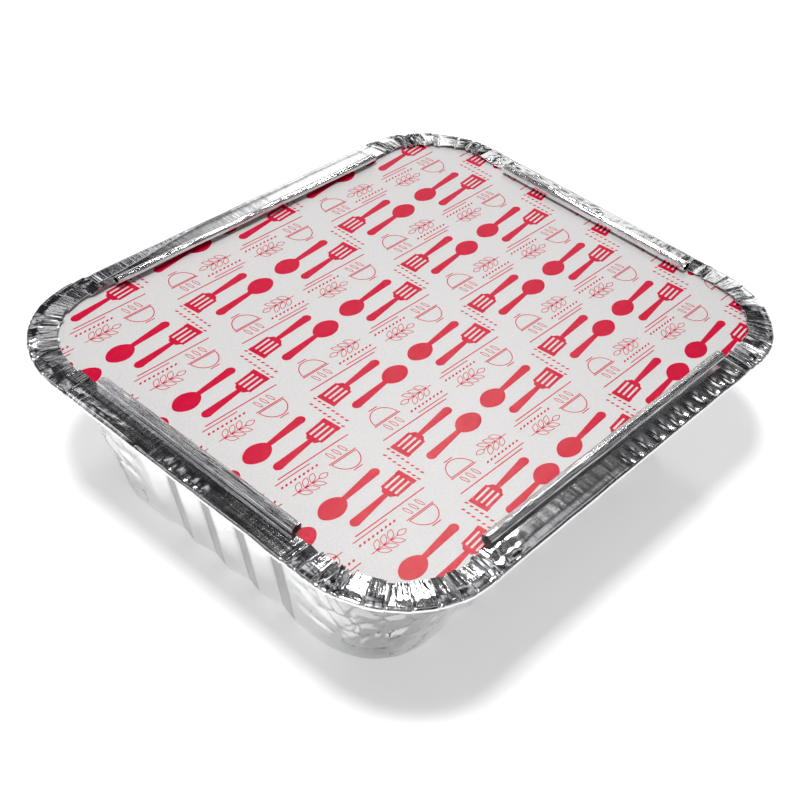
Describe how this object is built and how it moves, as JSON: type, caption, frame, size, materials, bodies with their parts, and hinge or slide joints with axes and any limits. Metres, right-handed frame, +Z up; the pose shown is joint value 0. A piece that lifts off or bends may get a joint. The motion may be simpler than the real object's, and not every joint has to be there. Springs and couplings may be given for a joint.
{
  "type": "foil food container",
  "caption": "Rectangular foil food container with fluted tapering walls, closed by a printed card lid held under the rolled and gathered foil rim.",
  "frame": {"origin": "centre of the underside of the base, on the plane the container stands on", "axes": "+X along the long side, +Y along the short side, +Z up through the lid"},
  "size_m": [0.1856, 0.15, 0.0541],
  "materials": {
    "foil": "bright rolled foil, creased",
    "printed_card": "satin coated, printed in crimson"
  },
  "bodies": {
    "root": {"foil_tray": "foil", "card_lid": "printed_card"}
  },
  "joints": []
}
